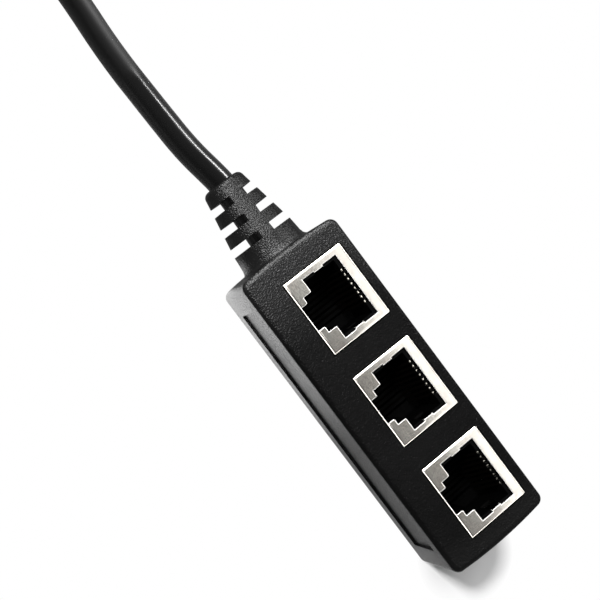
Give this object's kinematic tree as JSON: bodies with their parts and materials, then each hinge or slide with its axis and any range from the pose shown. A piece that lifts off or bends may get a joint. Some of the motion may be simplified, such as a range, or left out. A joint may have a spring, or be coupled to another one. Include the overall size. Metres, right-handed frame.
{
  "type": "rj45 splitter adapter",
  "caption": "Black moulded network splitter bar with a row of shielded RJ45 sockets in its face, a slotted strain relief on one end and a short cable with a plug.",
  "frame": {"origin": "middle of the housing's flat back, which lies on the surface", "axes": "+X along the row of sockets to the free end, +Y towards the sockets' contact side, +Z out of the sockets"},
  "size_m": [0.1801, 0.0612, 0.0192],
  "materials": {
    "black_plastic": "fine matte grain",
    "nickel": "satin nickel plate",
    "socket_plastic": "smooth moulded nylon",
    "gold": "gold plated",
    "board_green": "solder mask",
    "mould_cream": "low-pressure moulding",
    "brass_ring": "plain",
    "cable_black": "soft gloss PVC",
    "clear_plastic": "clear polycarbonate",
    "wire_orange": "wire insulation",
    "wire_green": "wire insulation",
    "wire_blue": "wire insulation",
    "wire_brown": "wire insulation"
  },
  "bodies": {
    "root": {"housing": "black_plastic", "inner_mould": "mould_cream", "circuit_board": "board_green", "crimp_ring": "brass_ring", "shield_1": "nickel", "insert_1": "socket_plastic", "carrier_1": "socket_plastic", "contacts_1": "gold", "shield_2": "nickel", "insert_2": "socket_plastic", "carrier_2": "socket_plastic", "contacts_2": "gold", "shield_3": "nickel", "insert_3": "socket_plastic", "carrier_3": "socket_plastic", "contacts_3": "gold", "pair_orange": "wire_orange", "pair_green": "wire_green", "pair_blue": "wire_blue", "pair_brown": "wire_brown", "cable": "cable_black", "plug_boot": "black_plastic", "plug_body": "clear_plastic", "plug_guide": "clear_plastic", "plug_contacts": "gold", "plug_wires": "wire_orange"}
  },
  "joints": []
}
